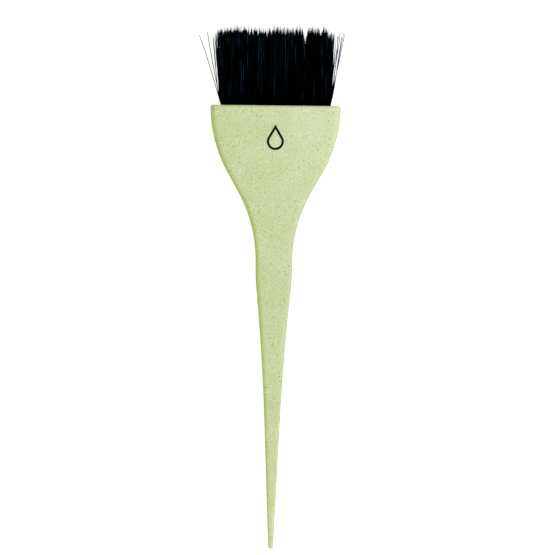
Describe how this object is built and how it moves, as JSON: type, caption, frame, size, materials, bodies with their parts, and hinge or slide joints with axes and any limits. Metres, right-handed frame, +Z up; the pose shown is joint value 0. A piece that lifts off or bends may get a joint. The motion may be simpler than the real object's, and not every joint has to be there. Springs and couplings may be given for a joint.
{
  "type": "tint brush",
  "caption": "Flat wedge-shaped tint brush: wide head with anchored rows of dark bristle tufts, curved neck and long pointed tail handle.",
  "frame": {"origin": "on the surface that the brush lies on, under the middle of the brush's overall length and width", "axes": "+X across the head, +Y from the tip of the tail to the bristles, +Z up out of the front face, square to the flat back face"},
  "size_m": [0.055, 0.2195, 0.0104],
  "materials": {
    "handle": "satin",
    "bristles": "satin",
    "anchor_wire": "satin",
    "ink": "matte"
  },
  "bodies": {
    "root": {"handle": "handle", "printed_mark": "ink", "tuft_back_1": "bristles", "tuft_back_2": "bristles", "tuft_back_3": "bristles", "tuft_back_4": "bristles", "tuft_back_5": "bristles", "tuft_back_6": "bristles", "tuft_back_7": "bristles", "tuft_back_8": "bristles", "tuft_front_1": "bristles", "tuft_front_2": "bristles", "tuft_front_3": "bristles", "tuft_front_4": "bristles", "tuft_front_5": "bristles", "tuft_front_6": "bristles", "tuft_front_7": "bristles", "tuft_front_8": "bristles", "tuft_front_9": "bristles", "anchor_back_1": "anchor_wire", "anchor_back_2": "anchor_wire", "anchor_back_3": "anchor_wire", "anchor_back_4": "anchor_wire", "anchor_back_5": "anchor_wire", "anchor_back_6": "anchor_wire", "anchor_back_7": "anchor_wire", "anchor_back_8": "anchor_wire", "anchor_front_1": "anchor_wire", "anchor_front_2": "anchor_wire", "anchor_front_3": "anchor_wire", "anchor_front_4": "anchor_wire", "anchor_front_5": "anchor_wire", "anchor_front_6": "anchor_wire", "anchor_front_7": "anchor_wire", "anchor_front_8": "anchor_wire", "anchor_front_9": "anchor_wire"}
  },
  "joints": []
}
